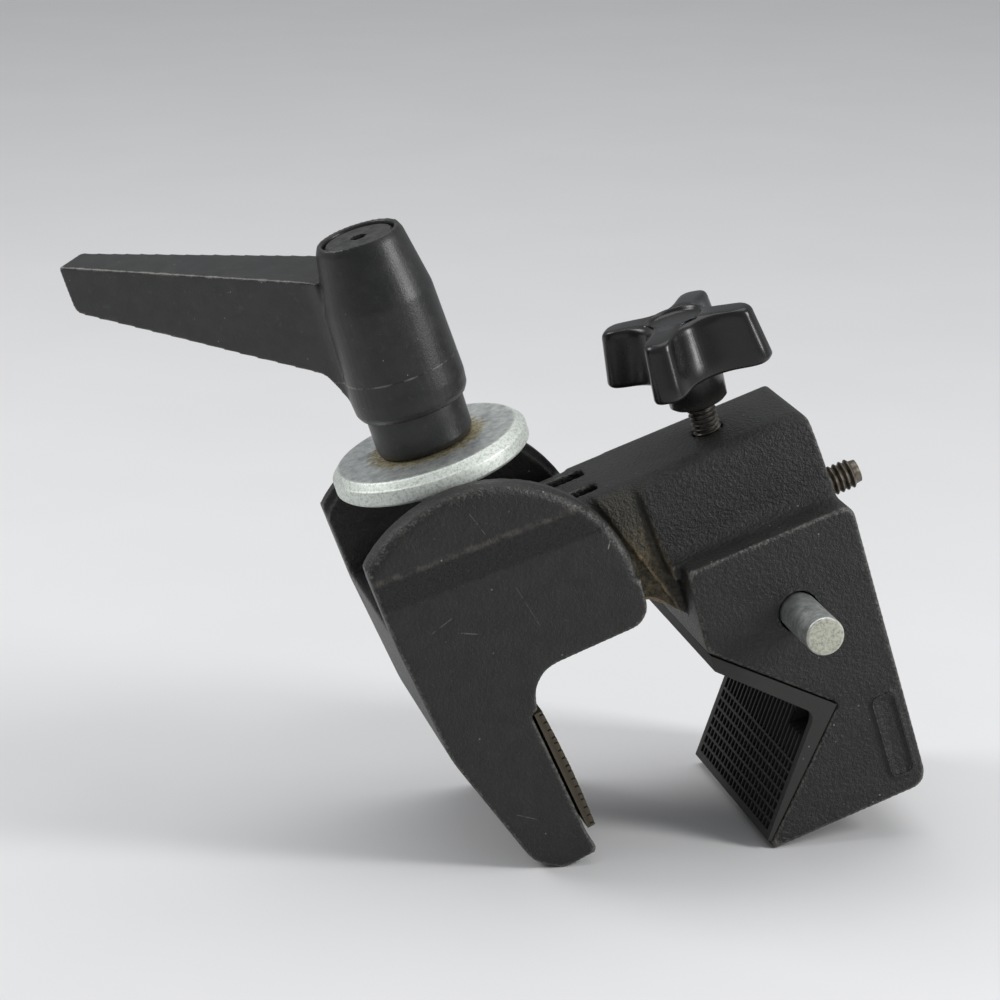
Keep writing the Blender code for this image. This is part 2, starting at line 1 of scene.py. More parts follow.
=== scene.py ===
"""Looks of the grip clamp: cast, turned, threaded and moulded pieces, their materials, the light and the camera.

Lengths are in millimetres in each group's own axes, as in the CAD model: FIXED for the body, arm and stud, MOVING
for the swinging jaw, LEVER for what turns on the lever screw, KNOB for the lock knob.
"""

import json
import math

import bmesh
import bpy
import numpy as np
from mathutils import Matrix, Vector


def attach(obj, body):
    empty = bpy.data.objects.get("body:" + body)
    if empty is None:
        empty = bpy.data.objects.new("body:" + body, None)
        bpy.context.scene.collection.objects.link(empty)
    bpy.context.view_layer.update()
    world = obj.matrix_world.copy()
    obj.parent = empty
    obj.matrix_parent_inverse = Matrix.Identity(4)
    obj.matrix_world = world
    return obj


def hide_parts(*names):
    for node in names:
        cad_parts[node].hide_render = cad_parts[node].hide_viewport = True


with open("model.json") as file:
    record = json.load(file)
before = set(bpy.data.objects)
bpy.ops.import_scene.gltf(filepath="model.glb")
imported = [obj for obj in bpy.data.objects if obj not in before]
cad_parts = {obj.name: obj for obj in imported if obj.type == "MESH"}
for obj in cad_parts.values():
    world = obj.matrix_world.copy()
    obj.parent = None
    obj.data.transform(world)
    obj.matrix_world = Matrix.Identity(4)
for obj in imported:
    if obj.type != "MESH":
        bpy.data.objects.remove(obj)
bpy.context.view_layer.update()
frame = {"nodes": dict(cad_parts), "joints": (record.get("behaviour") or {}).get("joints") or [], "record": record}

MM = 0.001
NODES = frame["nodes"]
RECORD = frame["record"]
JOINTS = {joint["name"]: joint for joint in frame["joints"]}
MOUNTS = {mount["name"]: mount for mount in RECORD["mounts"]}


# ---------------------------------------------------------------- axes
class Axes:
    """Axes with y across the clamp, and z up along a given direction. Points are in millimetres."""

    def __init__(self, origin, up):
        self.z = Vector(up).normalized()
        self.y = Vector((0, 1, 0))
        self.x = self.y.cross(self.z)
        self.origin = Vector(origin)

    def at(self, x, y, z):
        return self.origin + (self.x * x + self.y * y + self.z * z) * MM

    def moved(self, x, y, z):
        return Axes(self.at(x, y, z), self.z)


STUD_END, SOCKET_Z = 48.8, 58.9
LEVER_X, WASHER_TOP = -37.9, 99.9
KNOB_SEAT = 20.5
PIN = (22.1, 45.6)

lever_joint, knob_joint = JOINTS["lever_turn"], JOINTS["lock_knob_turn"]
LEVER = Axes(lever_joint["pos_m"], -Vector(lever_joint["axis"])).moved(0, 0, -WASHER_TOP)
MOVING = LEVER.moved(-LEVER_X, 0, 0)
KNOB = Axes(knob_joint["pos_m"], knob_joint["axis"]).moved(0, 0, -KNOB_SEAT)
stud_axis = MOUNTS["stud_end"]["axis"]
FIXED = Axes(MOUNTS["stud_end"]["pos_m"], (-stud_axis[2], 0, stud_axis[0])).moved(-STUD_END, 0, -SOCKET_Z)


# ---------------------------------------------------------------- shader building
class Shader:
    """One material's nodes. A value may be a number or another node's output."""

    def __init__(self, name, roughness=0.5, metallic=0.0, specular=0.5):
        self.mat = bpy.data.materials.new(name)
        self.mat.use_nodes = True
        self.nodes = self.mat.node_tree.nodes
        self.surface = self.nodes["Principled BSDF"]
        self.surface.inputs["Roughness"].default_value = roughness
        self.surface.inputs["Metallic"].default_value = metallic
        self.surface.inputs["Specular IOR Level"].default_value = specular
        self.place = self.nodes.new("ShaderNodeTexCoord").outputs["Object"]

    def put(self, value, socket):
        if isinstance(value, bpy.types.NodeSocket):
            self.mat.node_tree.links.new(value, socket)
        elif isinstance(value, tuple) and len(socket.default_value) == 4:
            socket.default_value = (*value, 1)
        else:
            socket.default_value = value

    def set(self, **values):
        for name, value in values.items():
            self.put(value, self.surface.inputs[name.replace("_", " ")])

    def maths(self, operation, a, b=0.0):
        node = self.nodes.new("ShaderNodeMath")
        node.operation = operation
        for value, socket in zip((a, b), node.inputs):
            self.put(value, socket)
        return node.outputs[0]

    def noise(self, size, detail=2.0, roughness=0.5, stretch=None):
        """Noise with lumps of about this size, from 0 to 1."""
        node = self.nodes.new("ShaderNodeTexNoise")
        node.inputs["Scale"].default_value = 1 / (size * MM)
        node.inputs["Detail"].default_value = detail
        node.inputs["Roughness"].default_value = roughness
        self.put(stretch or self.place, node.inputs["Vector"])
        return node.outputs["Fac"]

    def cells(self, size):
        """Distance from the middle of the nearest of scattered cells of about this size."""
        node = self.nodes.new("ShaderNodeTexVoronoi")
        node.inputs["Scale"].default_value = 1 / (size * MM)
        self.put(self.place, node.inputs["Vector"])
        return node.outputs["Distance"]

    def stretched(self, x, y, z):
        """The object's coordinates, with each direction scaled, so that a noise comes out long in one of them."""
        node = self.nodes.new("ShaderNodeVectorMath")
        node.operation = "MULTIPLY"
        self.put(self.place, node.inputs[0])
        node.inputs[1].default_value = (x, y, z)
        return node.outputs[0]

    def steps(self, value, low, high):
        """0 below low and 1 above high, smooth between. With low over high it falls instead."""
        node = self.nodes.new("ShaderNodeMapRange")
        node.interpolation_type = "SMOOTHSTEP"
        self.put(value, node.inputs["Value"])
        node.inputs["From Min"].default_value = min(low, high)
        node.inputs["From Max"].default_value = max(low, high)
        node.inputs["To Min"].default_value = 0.0 if low < high else 1.0
        node.inputs["To Max"].default_value = 1.0 if low < high else 0.0
        return node.outputs["Result"]

    def scale(self, value, low, high):
        """Carries 0..1 to low..high."""
        node = self.nodes.new("ShaderNodeMapRange")
        self.put(value, node.inputs["Value"])
        node.inputs["To Min"].default_value = low
        node.inputs["To Max"].default_value = high
        return node.outputs["Result"]

    def mix(self, a, b, share):
        node = self.nodes.new("ShaderNodeMix")
        node.data_type = "RGBA"
        self.put(share, node.inputs["Factor"])
        self.put(a, node.inputs[6])
        self.put(b, node.inputs[7])
        return node.outputs[2]

    def mask(self, name):
        node = self.nodes.new("ShaderNodeAttribute")
        node.attribute_name = name
        return node.outputs["Fac"]

    def along(self, direction, origin):
        """Millimetres from origin along a direction."""
        shift = self.nodes.new("ShaderNodeVectorMath")
        shift.operation = "SUBTRACT"
        self.put(self.place, shift.inputs[0])
        shift.inputs[1].default_value = origin
        dot = self.nodes.new("ShaderNodeVectorMath")
        dot.operation = "DOT_PRODUCT"
        self.put(shift.outputs[0], dot.inputs[0])
        dot.inputs[1].default_value = Vector(direction) / MM
        return dot.outputs["Value"]

    def radius(self, axes):
        """Millimetres from the z axis of these axes."""
        u, v = self.along(axes.x, axes.origin), self.along(axes.y, axes.origin)
        return self.maths("SQRT", self.maths("ADD", self.maths("POWER", u, 2), self.maths("POWER", v, 2)))

    def scratch(self, start, end, width):
        """1 on a thin line from start to end, both points of the row frame, broken up along it."""
        line = Vector(end) - Vector(start)
        run = line.length / MM
        along = self.along(line.normalized(), start)
        shift = self.nodes.new("ShaderNodeVectorMath")
        shift.operation = "SUBTRACT"
        self.put(self.place, shift.inputs[0])
        shift.inputs[1].default_value = start
        whole = self.nodes.new("ShaderNodeVectorMath")
        whole.operation = "LENGTH"
        self.put(shift.outputs[0], whole.inputs[0])
        whole_mm = self.maths("DIVIDE", whole.outputs["Value"], MM)
        clear = self.maths("MAXIMUM", 0.0, self.maths("MINIMUM", along, run))
        off = self.maths("SQRT", self.maths("MAXIMUM", 0.0, self.maths(
            "SUBTRACT", self.maths("POWER", whole_mm, 2), self.maths("POWER", clear, 2))))
        past = self.maths("MULTIPLY", self.steps(along, -0.5, 0.5), self.steps(along, run + 0.5, run - 0.5))
        broken = self.steps(self.noise(1.2, 3), 0.38, 0.55)
        return self.maths("MULTIPLY", self.maths("MULTIPLY", self.steps(off, width, width * 0.3), past), broken)

    def bump(self, height, depth, below=None):
        """A relief this deep, in millimetres."""
        node = self.nodes.new("ShaderNodeBump")
        node.inputs["Distance"].default_value = depth * MM
        node.inputs["Strength"].default_value = 1.0
        self.put(height, node.inputs["Height"])
        if below:
            self.put(below, node.inputs["Normal"])
        return node.outputs["Normal"]


# ---------------------------------------------------------------- shape building
def rounded(*corners, step=12, closed=False):
    """A line of (u, v, radius) corners with each corner rounded by an arc. The ends of an open line stay sharp."""
    points = []
    for i, (x, z, r) in enumerate(corners):
        if r <= 0 or (not closed and i in (0, len(corners) - 1)):
            points.append((x, z))
            continue
        (px, pz, _), (nx, nz, _) = corners[i - 1], corners[(i + 1) % len(corners)]
        a, b = Vector((px - x, pz - z)).normalized(), Vector((nx - x, nz - z)).normalized()
        turn = math.acos(max(-1, min(1, a.dot(b))))
        if turn > math.radians(179):
            points.append((x, z))
            continue
        centre = Vector((x, z)) + (a + b).normalized() * (r / math.sin(turn / 2))
        first = Vector((x, z)) + a * (r / math.tan(turn / 2)) - centre
        last = Vector((x, z)) + b * (r / math.tan(turn / 2)) - centre
        start, end = math.atan2(first.y, first.x), math.atan2(last.y, last.x)
        sweep = (end - start + math.pi) % (2 * math.pi) - math.pi
        n = max(2, round(abs(math.degrees(sweep)) / step))
        points += [(centre.x + r * math.cos(start + sweep * k / n), centre.y + r * math.sin(start + sweep * k / n))
                   for k in range(n + 1)]
    return points


def finish_piece(obj, body, slot, mat, *replaced, sharp=35):
    """Shades a piece, gives it its material, ties it to its body and hides the CAD nodes that it stands for."""
    obj.data.shade_smooth()
    obj.data.set_sharp_from_angle(angle=math.radians(sharp))
    obj.data.materials.clear()
    obj.data.materials.append(mat)
    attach(obj, body)
    if replaced:
        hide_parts(*replaced)
    return obj


def mesh_object(name, points, faces):
    mesh = bpy.data.meshes.new(name)
    mesh.from_pydata(points, [], faces)
    bm = bmesh.new()
    bm.from_mesh(mesh)
    bmesh.ops.recalc_face_normals(bm, faces=bm.faces)
    bm.to_mesh(mesh)
    bm.free()
    obj = bpy.data.objects.new(name, mesh)
    bpy.context.scene.collection.objects.link(obj)
    return obj


def ring_faces(rings, steps, closed):
    faces = []
    for i in range(rings if closed else rings - 1):
        j = (i + 1) % rings
        faces += [(i * steps + k, i * steps + (k + 1) % steps, j * steps + (k + 1) % steps, j * steps + k)
                  for k in range(steps)]
    return faces


def lofted(name, axes, radius, rings, hollow=False, steps=96, lie="z"):
    """A round solid: rings is a list of (key, height), and radius(key, angle, height) gives each point's radius."""
    points = []
    for key, height in rings:
        for k in range(steps):
            a = 2 * math.pi * k / steps
            r = radius(key, a, height)
            u, v = r * math.cos(a), r * math.sin(a)
            place = {"z": (u, v, height), "y": (u, height, v), "x": (height, u, v)}[lie]
            points.append(axes.at(*place))
    faces = ring_faces(len(rings), steps, hollow)
    if not hollow:
        faces += [tuple(range(steps)), tuple(range((len(rings) - 1) * steps, len(rings) * steps))]
    return mesh_object(name, points, faces)


def turned(name, axes, profile, **kw):
    """A turned solid from (radius, height) points."""
    return lofted(name, axes, lambda r, a, h: r, [(max(r, 0.02), h) for r, h in profile], **kw)


def threaded(name, axes, low, high, radius, pitch, depth, tail, lead, steps=40):
    """A rod with a helical thread from low to high, thinner by lead at its start. tail adds plain (radius, height)
    points past high.
    """
    per_turn = 8
    rings = [("thread", low + pitch * i / per_turn) for i in range(round((high - low) / pitch * per_turn) + 1)]

    def reach(key, angle, height):
        if key != "thread":
            return key
        phase = (height / pitch - angle / (2 * math.pi)) % 1.0
        flank = max(0.0, min(1.0, (abs(phase - 0.5) * 2 - 0.18) / 0.6))
        start = min(1.0, (height - low + 0.2) / (1.2 * pitch))
        return radius - depth * flank - lead * (1 - start)

    return lofted(name, axes, reach, rings + tail, steps=steps)


def copy_of(node, name):
    """The CAD node's own shape as a new mesh, with its split corners joined."""
    mesh = NODES[node].data.copy()
    mesh.name = name
    bm = bmesh.new()
    bm.from_mesh(mesh)
    bmesh.ops.remove_doubles(bm, verts=bm.verts, dist=0.002 * MM)
    bmesh.ops.recalc_face_normals(bm, faces=bm.faces)
    bm.to_mesh(mesh)
    bm.free()
    obj = bpy.data.objects.new(name, mesh)
    bpy.context.scene.collection.objects.link(obj)
    return obj


def settled(obj):
    """The object with its modifiers applied."""
    graph = bpy.context.evaluated_depsgraph_get()
    mesh = bpy.data.meshes.new_from_object(obj.evaluated_get(graph))
    mesh.name = obj.name
    obj.modifiers.clear()
    obj.data = mesh
    return obj


def cast(node, name, voxel, smoothing):
    """The node's shape as a casting: one even mesh with every edge and inner corner rounded."""
    obj = copy_of(node, name)
    remesh = obj.modifiers.new("even", "REMESH")
    remesh.mode = "VOXEL"
    remesh.voxel_size = voxel * MM
    smooth = obj.modifiers.new("rounded", "SMOOTH")
    smooth.factor = 0.5
    smooth.iterations = smoothing
    return settled(obj)


def mark_edges(obj, rounds, full):
    """Stores how far each point stands out of (edge) or into (hollow) the smoothed shape, full mm being 1."""
    mesh = obj.data
    n = len(mesh.vertices)
    place, normal = np.zeros(n * 3, np.float32), np.zeros(n * 3, np.float32)
    mesh.vertices.foreach_get("co", place)
    mesh.vertices.foreach_get("normal", normal)
    place, normal = place.reshape(-1, 3), normal.reshape(-1, 3)
    ends = np.zeros(len(mesh.edges) * 2, np.int32)
    mesh.edges.foreach_get("vertices", ends)
    a, b = ends.reshape(-1, 2).T
    near = np.maximum(np.bincount(a, minlength=n) + np.bincount(b, minlength=n), 1)
    soft = place.astype(np.float64)
    for _ in range(rounds):
        for axis in range(3):
            total = np.bincount(a, soft[b, axis], n) + np.bincount(b, soft[a, axis], n)
            soft[:, axis] = 0.4 * soft[:, axis] + 0.6 * total / near
    out = ((place - soft) * normal).sum(axis=1) / (full * MM)
    for name, values in (("edge", np.clip(out, 0, 1)), ("hollow", np.clip(-out, 0, 1))):
        mesh.attributes.new(name, "FLOAT", "POINT").data.foreach_set("value", values.astype(np.float32))
    return obj


def refined(node, name, width):
    """The node's shape with its edges rounded."""
    obj = copy_of(node, name)
    bevel = obj.modifiers.new("edges", "BEVEL")
    bevel.width = width * MM
    bevel.segments = 3
    bevel.limit_method = "ANGLE"
    bevel.angle_limit = math.radians(35)
    return settled(obj)


RIM_CENTRE, RIM_R, RIM_ROUND = (-39.2, 65.7), 30.6, 2.6
RIM_START, RIM_END = -1.0, 134.0
CHEEK_OUT, CHEEK_STILL = 26.0, 21.0


def round_rim(obj):
    """Draws the cheeks' faces in towards the rims, as a quarter round, and leaves the inner sides where they are."""
    origin = MOVING.at(RIM_CENTRE[0], 0, RIM_CENTRE[1])
    for v in obj.data.vertices:
        off = (v.co - origin) / MM
        x, y, z = off.dot(MOVING.x), off.dot(MOVING.y), off.dot(MOVING.z)
        past = math.hypot(x, z) - (RIM_R - RIM_ROUND)
        if past <= 0 or abs(y) <= CHEEK_STILL or not RIM_START <= math.degrees(math.atan2(z, x)) <= RIM_END:
            continue
        drop = RIM_ROUND - math.sqrt(max(0.0, RIM_ROUND ** 2 - min(past, RIM_ROUND) ** 2))
        share = (abs(y) - CHEEK_STILL) / (CHEEK_OUT - CHEEK_STILL)
        v.co -= MOVING.y * math.copysign(drop * share, y) * MM
    smooth = obj.modifiers.new("even_rim", "SMOOTH")
    smooth.factor = 0.5
    smooth.iterations = 2
    return settled(obj)


# ---------------------------------------------------------------- materials
def coated_casting(name, band=False, arm=False):
    """Black pebbled powder coat on a casting, rubbed through to grey on its edges, with painted shade in its hollows.
    """
    s = Shader(name, specular=0.40)
    pebble = s.noise(0.85, 3, 0.6)
    fine = s.noise(0.35, 2, 0.6)
    blotch = s.noise(4, 4, 0.6)
    edge, hollow = s.mask("edge"), s.mask("hollow")
    rub = s.maths("ADD", edge, s.maths("MULTIPLY", s.maths("SUBTRACT", s.noise(0.7, 3, 0.75), 0.5), 1.5))
    worn = s.steps(rub, 0.55, 1.05)
    speck = s.maths("MULTIPLY", s.steps(s.cells(2.6), 0.09, 0.05), s.steps(s.noise(9, 2), 0.55, 0.65))
    colour = s.mix((0.010, 0.010, 0.0095), (0.016, 0.0157, 0.0145), s.steps(blotch, 0.3, 0.72))
    colour = s.mix(colour, (0.036, 0.034, 0.029), s.maths("MULTIPLY", s.steps(fine, 0.55, 0.78), 0.6))
    relief = 0.26
    if arm:
        x, z = s.along(FIXED.x, FIXED.origin), s.along(FIXED.z, FIXED.origin)
        y = s.maths("ABSOLUTE", s.along(FIXED.y, FIXED.origin))
        relief = 0.46
        root = s.maths("MULTIPLY", s.steps(x, -18, -13), s.steps(x, 2.5, -2.0))
        root = s.maths("MULTIPLY", root, s.steps(y, 10.5, 13.5))
        low = s.steps(z, 76, 64)
        dirt = s.mix((0.026, 0.023, 0.015), (0.20, 0.155, 0.085), s.steps(s.noise(1.3, 5, 0.75), 0.36, 0.68))
        colour = s.mix(colour, (0.040, 0.037, 0.027), s.maths("MULTIPLY", root, 0.8))
        colour = s.mix(colour, dirt, s.maths("MULTIPLY", s.maths("MULTIPLY", root, low), 0.75))
        blade = s.maths("MULTIPLY", s.maths("MULTIPLY", root, low), s.steps(edge, 0.25, 0.6))
        colour = s.mix(colour, (0.42, 0.32, 0.18), s.maths("MULTIPLY", blade, 0.7))
    chips = s.maths("MULTIPLY", speck, 0.5)
    if band:
        z = s.along(MOVING.z, MOVING.origin)
        y = s.maths("ABSOLUTE", s.along(MOVING.y, MOVING.origin))
        outside = s.steps(y, 24.4, 25.0)
        wander = s.maths("ADD", z, s.maths("MULTIPLY", s.maths("SUBTRACT", s.noise(2.5, 3), 0.5), 1.6))
        # painted shade: the band, the downward-facing step below the proud upper part of the cheek, is coloured
        # darker, with its rough grit speckled in it
        rough = s.maths("MULTIPLY", s.steps(wander, 77.2, 78.4), s.steps(z, 84.6, 83.4))
        rough = s.maths("MULTIPLY", rough, outside)
        grit = s.steps(s.noise(0.6, 4, 0.8), 0.54, 0.70)
        dark = s.mix((0.004, 0.004, 0.004), (0.085, 0.085, 0.082), grit)
        colour = s.mix(colour, dark, s.maths("MULTIPLY", rough, 0.9))
        # painted highlight: a lighter line along the band's upper edge, broken up by noise
        lip = s.maths("MULTIPLY", s.maths("MULTIPLY", s.steps(z, 83.4, 84.3), s.steps(z, 85.6, 84.6)), outside)
        lip = s.maths("MULTIPLY", lip, s.steps(s.noise(2.0, 4, 0.7), 0.40, 0.62))
        colour = s.mix(colour, (0.075, 0.069, 0.058), s.maths("MULTIPLY", lip, 0.6))
        for start, end, width, strength in CHEEK_SCRATCHES:
            line = s.scratch(MOVING.at(*start), MOVING.at(*end), width)
            chips = s.maths("MAXIMUM", chips, s.maths("MULTIPLY", line, strength))
        pebble = s.maths("ADD", pebble, s.maths("MULTIPLY", s.maths("MULTIPLY", grit, rough), 1.8))
    colour = s.mix(colour, (0.125, 0.122, 0.113), s.maths("MULTIPLY", worn, 0.85))
    colour = s.mix(colour, (0.40, 0.39, 0.36), chips)
    # painted shade: the casting's hollows are coloured near-black
    colour = s.mix(colour, (0.006, 0.006, 0.0055), s.maths("MULTIPLY", s.steps(hollow, 0.25, 0.9), 0.7))
    s.set(Base_Color=colour)
    s.set(Roughness=s.maths("SUBTRACT", s.scale(blotch, 0.40, 0.50), s.maths("MULTIPLY", worn, 0.08)))
    s.set(Metallic=s.maths("MULTIPLY", worn, 0.35))
    coarse = s.bump(pebble, relief)
    s.set(Normal=s.bump(fine, relief * 0.4, coarse))
    return s.mat


# (start, end, width, strength): scratches on the near cheek, in MOVING millimetres
NEAR_FACE, NEAR_LOW = -26.0, -25.3
CHEEK_SCRATCHES = (
    ((-37.5, NEAR_FACE, 91.5), (-35.0, NEAR_FACE, 84.2), 0.10, 0.22),
    ((-35.0, NEAR_LOW, 84.2), (-33.6, NEAR_LOW, 80.0), 0.14, 0.55),
    ((-33.2, NEAR_LOW, 73.5), (-30.6, NEAR_LOW, 62.5), 0.08, 0.16),
    ((-12.8, NEAR_LOW, 79.0), (-9.4, NEAR_LOW, 81.5), 0.34, 0.95),
    ((-13.4, NEAR_LOW, 73.5), (-10.9, NEAR_LOW, 77.5), 0.16, 0.5),
    ((-47.0, NEAR_LOW, 68.6), (-43.2, NEAR_LOW, 66.8), 0.16, 0.22),
    ((-52.0, NEAR_LOW, 70.4), (-47.2, NEAR_LOW, 72.0), 0.14, 0.20),
    ((-47.5, NEAR_LOW, 27.0), (-43.8, NEAR_LOW, 24.4), 0.12, 0.20),
    ((-27.0, NEAR_LOW, 89.5), (-25.6, NEAR_LOW, 91.4), 0.18, 0.35),
)


def rubber(name, light, dark):
    """Dull moulded pad, lighter on its raised edges and dusty in patches, with painted shade in its pits."""
    s = Shader(name, roughness=0.68, specular=0.35)
    dust = s.steps(s.noise(2.2, 4, 0.7), 0.45, 0.72)
    colour = s.mix(dark, light, s.maths("MULTIPLY", s.mask("edge"), 0.75))
    colour = s.mix(colour, light, s.maths("MULTIPLY", dust, 0.30))
    # painted shade: the pits are coloured near-black
    colour = s.mix(colour, (0.003, 0.003, 0.003), s.maths("MULTIPLY", s.mask("hollow"), 0.9))
    speck = s.maths("MULTIPLY", s.steps(s.cells(1.9), 0.10, 0.06), s.steps(s.noise(6, 2), 0.56, 0.66))
    s.set(Base_Color=s.mix(colour, (0.33, 0.32, 0.28), speck))
    s.set(Normal=s.bump(s.noise(0.3, 3, 0.6), 0.05))
    return s.mat


def zinc_plate(name, grease=None, end=None):
    """Dull zinc plate, mottled and scuffed.

    grease is the radius of the soiled ring round the lever screw. end is the y of a cut end, which is duller.
    """
    s = Shader(name, metallic=0.8)
    mottle = s.noise(1.7, 5, 0.7)
    stain = s.steps(s.noise(5.5, 4, 0.6), 0.52, 0.72)
    pits = s.steps(s.noise(0.7, 3, 0.7), 0.60, 0.70)
    colour = s.mix((0.46, 0.49, 0.475), (0.72, 0.75, 0.73), s.steps(mottle, 0.3, 0.68))
    colour = s.mix(colour, (0.20, 0.22, 0.22), s.maths("MULTIPLY", stain, 0.45))
    colour = s.mix(colour, (0.16, 0.16, 0.14), s.maths("MULTIPLY", pits, 0.30))
    rough = s.scale(mottle, 0.30, 0.48)
    if grease:
        out = s.steps(s.maths("ADD", s.radius(LEVER), s.maths("MULTIPLY", mottle, 0.8)), 18.4, 19.4)
        pale = s.mix((0.44, 0.46, 0.43), (0.68, 0.72, 0.67), s.steps(s.noise(0.6, 4, 0.75), 0.34, 0.56))
        colour = s.mix(colour, pale, out)
        s.set(Metallic=s.scale(out, 0.8, 0.55))
        rough = s.maths("ADD", rough, s.maths("MULTIPLY", out, 0.12))
        r = s.maths("ADD", s.radius(LEVER), s.maths("MULTIPLY", s.maths("SUBTRACT", mottle, 0.5), 6.0))
        ring = s.steps(r, grease + 2.2, grease)
        soil = s.mix((0.20, 0.155, 0.06), (0.46, 0.40, 0.24), s.steps(s.noise(0.8, 4, 0.7), 0.42, 0.6))
        colour = s.mix(colour, soil, s.maths("MULTIPLY", ring, 0.85))
        rough = s.maths("ADD", rough, s.maths("MULTIPLY", ring, 0.25))
    if end is not None:
        face = s.steps(s.along(FIXED.y, FIXED.at(0, end, 0)), 0.3, 0.12)
        cream = s.mix((0.24, 0.24, 0.185), (0.50, 0.495, 0.41), s.steps(s.noise(0.7, 5, 0.75), 0.36, 0.58))
        colour = s.mix(colour, cream, s.maths("MULTIPLY", face, 0.9))
        rough = s.maths("ADD", rough, s.maths("MULTIPLY", face, 0.2))
        s.set(Metallic=s.maths("SUBTRACT", 0.85, s.maths("MULTIPLY", face, 0.6)))
    s.set(Base_Color=colour, Roughness=rough)
    s.set(Normal=s.bump(s.noise(0.5, 3, 0.6), 0.025))
    return s.mat


def satin_black(name, seam=None):
    """Satin black on the lever and its hub: fine orange peel, paler on edges, a parting line round it at seam."""
    s = Shader(name, specular=0.42)
    peel = s.noise(0.45, 3, 0.6)
    blotch = s.noise(5, 4, 0.62)
    edge = s.mask("edge")
    rub = s.maths("ADD", edge, s.maths("MULTIPLY", s.maths("SUBTRACT", s.noise(1.6, 4, 0.7), 0.5), 0.8))
    worn = s.steps(rub, 0.62, 0.98)
    colour = s.mix((0.0105, 0.011, 0.011), (0.021, 0.021, 0.0205), s.steps(blotch, 0.32, 0.7))
    scuff = s.maths("MULTIPLY", s.steps(s.noise(2.2, 5, 0.75), 0.56, 0.74), 0.5)
    colour = s.mix(colour, (0.052, 0.050, 0.045), scuff)
    flecks = s.maths("MULTIPLY", s.steps(s.cells(1.7), 0.10, 0.05), s.steps(s.noise(5, 3), 0.54, 0.64))
    if seam:
        bar = s.steps(s.radius(LEVER), 13.0, 16.0)
        bar_wear = s.maths("MULTIPLY", s.steps(rub, 0.22, 0.62), s.maths("MULTIPLY", bar, 0.9))
        worn = s.maths("MAXIMUM", worn, bar_wear)
        z = s.along(LEVER.z, LEVER.origin)
        line = s.maths("MULTIPLY", s.steps(z, seam - 0.25, seam), s.steps(z, seam + 0.3, seam + 0.05))
        broken = s.steps(s.noise(3.0, 3, 0.6), 0.40, 0.62)
        worn = s.maths("MAXIMUM", worn, s.maths("MULTIPLY", s.maths("MULTIPLY", line, broken), 0.8))
        colour = s.mix(colour, (0.004, 0.004, 0.004), s.maths("MULTIPLY", line, 0.8))
    colour = s.mix(colour, (0.17, 0.165, 0.155), worn)
    colour = s.mix(colour, (0.32, 0.31, 0.28), s.maths("MULTIPLY", flecks, 0.7))
    s.set(Base_Color=colour, Roughness=s.scale(blotch, 0.30, 0.46))
    s.set(Normal=s.bump(peel, 0.045))
    return s.mat


def moulded_plastic(name):
    """Glossy black plastic with faint flow marks and fine scuffs."""
    s = Shader(name, specular=0.42)
    flow = s.noise(5, 3, 0.5)
    scuff = s.steps(s.noise(0.5, 4, 0.7, s.stretched(1.0, 0.25, 0.25)), 0.60, 0.75)
    edge = s.mask("edge")
    colour = s.mix((0.005, 0.005, 0.005), (0.012, 0.012, 0.0117), flow)
    colour = s.mix(colour, (0.05, 0.048, 0.043), s.maths("MULTIPLY", s.steps(edge, 0.6, 1.0), 0.3))
    s.set(Base_Color=colour, Roughness=s.maths("ADD", s.scale(flow, 0.20, 0.32), s.maths("MULTIPLY", scuff, 0.12)))
    s.set(Normal=s.bump(s.noise(3.5, 2, 0.4), 0.05))
    return s.mat


def browned_steel(name, light, dark, rough=0.42):
    """Oiled steel, brown-tarnished in patches, with a painted highlight on its edges and painted shade in its hollows.
    """
    s = Shader(name, metallic=0.9)
    tarnish = s.noise(1.8, 4, 0.65)
    colour = s.mix(dark, light, s.steps(tarnish, 0.34, 0.66))
    # painted highlight: edges and thread crests take the lighter tone
    colour = s.mix(colour, light, s.maths("MULTIPLY", s.mask("edge"), 0.6))
    # painted shade: hollows and thread roots are coloured near-black
    colour = s.mix(colour, (0.012, 0.010, 0.008), s.maths("MULTIPLY", s.steps(s.mask("hollow"), 0.1, 0.7), 0.85))
    s.set(Base_Color=colour, Roughness=s.scale(tarnish, rough + 0.12, rough - 0.1))
    s.set(Normal=s.bump(s.noise(0.4, 3, 0.6), 0.02))
    return s.mat


body_coat = coated_casting("body_coat", arm=True)
jaw_coat = coated_casting("jaw_coat", band=True)
v_rubber = rubber("v_rubber", (0.036, 0.035, 0.033), (0.010, 0.010, 0.010))
jaw_rubber = rubber("jaw_rubber", (0.085, 0.070, 0.045), (0.020, 0.016, 0.010))
washer_zinc = zinc_plate("washer_zinc", grease=11.0)
pin_zinc = zinc_plate("pin_zinc", end=-42.0)
small_zinc = zinc_plate("small_zinc")
lever_satin = satin_black("lever_satin", seam=117.2)
hub_satin = satin_black("hub_satin")
knob_plastic = moulded_plastic("knob_plastic")
thread_steel = browned_steel("thread_steel", (0.15, 0.14, 0.125), (0.050, 0.045, 0.038))
stud_steel = browned_steel("stud_steel", (0.17, 0.150, 0.125), (0.050, 0.041, 0.031))
screw_steel = browned_steel("screw_steel", (0.10, 0.10, 0.098), (0.035, 0.035, 0.034), 0.5)
spring_wire = browned_steel("spring_wire", (0.52, 0.51, 0.49), (0.30, 0.29, 0.27), 0.35)

